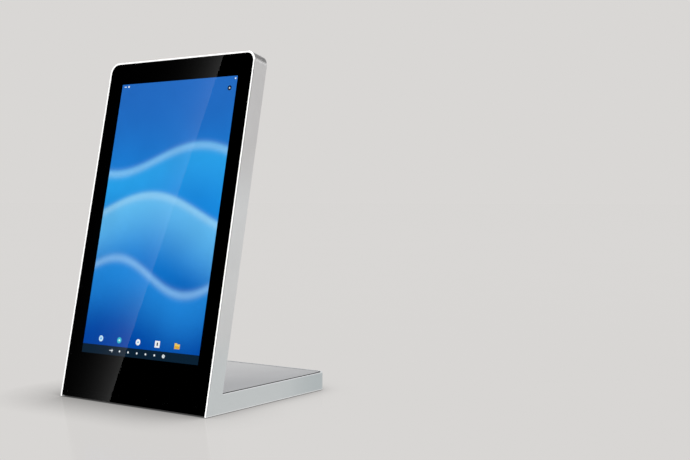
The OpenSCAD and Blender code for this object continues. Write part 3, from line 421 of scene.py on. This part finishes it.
put(moulded("key_graphite", linear(52, 53, 56), 0.42, 0.3 * MM, 0.015 * MM), "power_button",
    "volume_up_button", "volume_down_button")
put(moulded("plunger_ivory", linear(222, 218, 200), 0.5), "power_plunger", "volume_up_plunger",
    "volume_down_plunger")
put(moulded("header_ivory", linear(226, 220, 202), 0.5), "board_headers")
put(moulded("cone_paper", linear(58, 58, 62), 0.9, 0.8 * MM, 0.08 * MM), "speaker_cones")
put(moulded("sleeve_black", linear(18, 18, 18), 0.55, 0.5 * MM), "touch_lead", "antenna_lead",
    "button_lead")
put(moulded("sleeve_red", linear(176, 24, 22), 0.5, 0.5 * MM), "speaker_leads")
put(moulded("ribbon_white", linear(214, 214, 210), 0.45, 0.6 * MM), "display_cable")
put(moulded("flex_amber", linear(190, 112, 30), 0.35, 0.6 * MM), "touch_flex")
put(circuit_board("solder_mask", linear(12, 84, 48)), "main_board", "lcd_driver_board", "touch_controller",
    "button_board", "wifi_antenna")


# ---------- Camera ----------

LENS = 56.56
AZIMUTH, PITCH, ROLL = 34.54, 1.60, 0.07
camera_data = bpy.data.cameras.new("camera")
camera = bpy.data.objects.new("camera", camera_data)
scene.collection.objects.link(camera)
camera_data.lens = LENS
camera_data.sensor_width = 36.0    # millimetres, as the lens
camera.location = (0.9345, -1.0246, 0.2455)
a, p, r = (math.radians(k) for k in (AZIMUTH, PITCH, ROLL))
ahead = Vector((-math.sin(a) * math.cos(p), math.cos(a) * math.cos(p), -math.sin(p)))
right = Vector((math.cos(a), math.sin(a), 0))
over = right.cross(ahead)
right, over = math.cos(r) * right + math.sin(r) * over, math.cos(r) * over - math.sin(r) * right
camera.rotation_mode = "QUATERNION"
camera.rotation_quaternion = Matrix((right, over, -ahead)).transposed().to_quaternion()
scene.camera = camera


# ---------- Studio: floor, world, one soft light and a reflector for the glass ----------

FLOOR_TONE = linear(217, 215, 213)
SHEEN = 0.05               # share of the floor's light that is a faint reflection
SHEEN_TONE = 0.70          # how bright that reflection is where nothing stands
SIDE = 60.0
floor_mesh = bpy.data.meshes.new("floor")
floor_mesh.from_pydata([(-SIDE, -SIDE, 0), (SIDE, -SIDE, 0), (SIDE, SIDE, 0), (-SIDE, SIDE, 0)], [],
                       [(0, 1, 2, 3)])
floor = bpy.data.objects.new("floor", floor_mesh)
scene.collection.objects.link(floor)
floor_made = bpy.data.materials.new("floor")
floor_made.use_nodes = True
floor_made.cycles.emission_sampling = "NONE"
paint = Paint(floor_made.node_tree)
paint.nodes.remove(paint.nodes["Principled BSDF"])
# An evenly lit sheet of paper, darker only where the kiosk shuts out the light close by
matte = paint.nodes.new("ShaderNodeEmission")
sheen = paint.nodes.new("ShaderNodeBsdfGlossy")
both = paint.nodes.new("ShaderNodeMixShader")
near = paint.nodes.new("ShaderNodeAmbientOcclusion")
near.samples = 16
near.inputs["Distance"].default_value = 0.10
# More of the light comes from the right rear, so the shadow falls to the left front
lean = paint.nodes.new("ShaderNodeCombineXYZ")
for socket, value in zip(lean.inputs, Vector((0.40, 0.20, 1)).normalized()):
    socket.default_value = value
paint.links.new(lean.outputs[0], near.inputs["Normal"])
straight = Value(paint, paint.nodes.new("ShaderNodeLightPath").outputs["Is Camera Ray"])
open_sky = 1 - (1 - Value(paint, near.outputs["AO"]).power(1.2)) * straight
grain = paint.noise(0.4) * 0.01 + 0.995
shade = [(c - SHEEN * SHEEN_TONE) / (1 - SHEEN) for c in FLOOR_TONE[:3]] + [1.0]
paint.feed(matte.inputs["Color"], paint.mix(open_sky, (0.012, 0.012, 0.012, 1), shade))
paint.feed(matte.inputs["Strength"], grain)
sheen.inputs["Roughness"].default_value = 0.14
both.inputs["Fac"].default_value = SHEEN
paint.links.new(matte.outputs[0], both.inputs[1])
paint.links.new(sheen.outputs[0], both.inputs[2])
paint.links.new(both.outputs[0], paint.nodes["Material Output"].inputs["Surface"])
floor_mesh.materials.append(floor_made)

world = bpy.data.worlds.new("studio")
scene.world = world
world.use_nodes = True
paint = Paint(world.node_tree)
background = paint.nodes["Background"]
direction = paint.nodes.new("ShaderNodeTexCoord").outputs["Generated"]


def facing(toward):
    """How squarely a direction of the sky points along another."""
    node = paint.nodes.new("ShaderNodeVectorMath")
    node.operation = "DOT_PRODUCT"
    paint.links.new(direction, node.inputs[0])
    node.inputs[1].default_value = Vector(toward).normalized()
    return Value(paint, node.outputs["Value"])


def degrees(angle):
    return math.cos(math.radians(angle))


high = facing((0, 0, 1))
front_flag = facing((0, -0.914, 0.407)).step(degrees(66), degrees(54))
rear_flag = (facing((1, -0.05, 0)).abs().step(0.46, 0.28)
             * facing((-0.026, -0.5, 0.866)).abs().step(0.26, 0.12)
             * facing((0.045, 0.865, 0.5)).step(0, 0.3))
strip = facing((0.44, 0.85, 0.30)).step(degrees(7), degrees(4))
shine = (1.04 - 0.36 * high.step(-0.02, 0.16)) * (1 - front_flag) * (1 - 0.8 * rear_flag) + 1.6 * strip
rays = paint.nodes.new("ShaderNodeLightPath")
seen = Value(paint, rays.outputs["Is Camera Ray"])
mirrored = Value(paint, rays.outputs["Is Glossy Ray"])
AMBIENT = 0.62
light = paint.nodes.new("ShaderNodeCombineXYZ")
for socket in light.inputs:
    paint.feed(socket, shine)
light = paint.mix(mirrored, (AMBIENT, AMBIENT, AMBIENT, 1), light.outputs[0])
light = paint.mix(seen, light, FLOOR_TONE)
paint.links.new(light, background.inputs["Color"])

LAMP_WIDTH = math.radians(40)
for name, energy, source in (("key", 1.3, (0.55, -0.75, 1.15)), ("front", 1.9, (-0.30, -1.0, 0.30))):
    lamp_data = bpy.data.lights.new(name, "SUN")
    lamp_data.energy = energy
    lamp_data.angle = LAMP_WIDTH
    lamp = bpy.data.objects.new(name, lamp_data)
    scene.collection.objects.link(lamp)
    # The lamp lights matt surfaces only: its disc is seen neither in metal nor through the glass
    lamp.visible_glossy = lamp.visible_transmission = False
    lamp.rotation_mode = "QUATERNION"
    lamp.rotation_quaternion = Vector(source).to_track_quat("Z", "Y")


def on_glass(x, up):
    """A point of the glass: its x, and its height along the slope from the CAD origin."""
    return Vector((x, 0, 0)) + UP * up + OUT * GLASS_POINT.dot(OUT)


# The glass mirrors this card, whose bright edge makes the slanting sheen across its left part
mirrored_eye = camera.location - 2 * (camera.location - GLASS_POINT).dot(OUT) * OUT
REACH = 1.3                # the card's distance in front of the glass, in eye distances
WIDE = 1.2
CARD_LIGHT, CARD_FADE = 0.56, 0.055
edge = [mirrored_eye + (on_glass(*spot) - mirrored_eye) * (1 + REACH)
        for spot in ((0.071, 0.404), (-0.034, -0.021))]
far = mirrored_eye + (on_glass(-0.27, 0.25) - mirrored_eye) * (1 + REACH)
run = (edge[1] - edge[0])
edge = [edge[0] - run * 0.6, edge[1] + run * 0.6]
along_edge = run.normalized()
inward = (far - edge[0])
inward -= inward.dot(along_edge) * along_edge
inward.normalize()
card_mesh = bpy.data.meshes.new("reflector")
card_mesh.from_pydata([edge[0], edge[1], edge[1] + inward * WIDE, edge[0] + inward * WIDE],
                      [], [(0, 1, 2, 3)])
card = bpy.data.objects.new("reflector", card_mesh)
scene.collection.objects.link(card)
card_made = bpy.data.materials.new("reflector")
card_made.use_nodes = True
paint = Paint(card_made.node_tree)
paint.nodes.remove(paint.nodes["Principled BSDF"])
shining = paint.nodes.new("ShaderNodeEmission")
inside = paint.along(inward, edge[0].dot(inward))
paint.feed(shining.inputs["Color"], (1, 1, 1, 1))
paint.feed(shining.inputs["Strength"], CARD_LIGHT * (inside / -CARD_FADE).exp())
paint.links.new(shining.outputs[0], paint.nodes["Material Output"].inputs["Surface"])
card_mesh.materials.append(card_made)
for kind in ("visible_camera", "visible_diffuse", "visible_shadow", "visible_transmission"):
    setattr(card, kind, False)
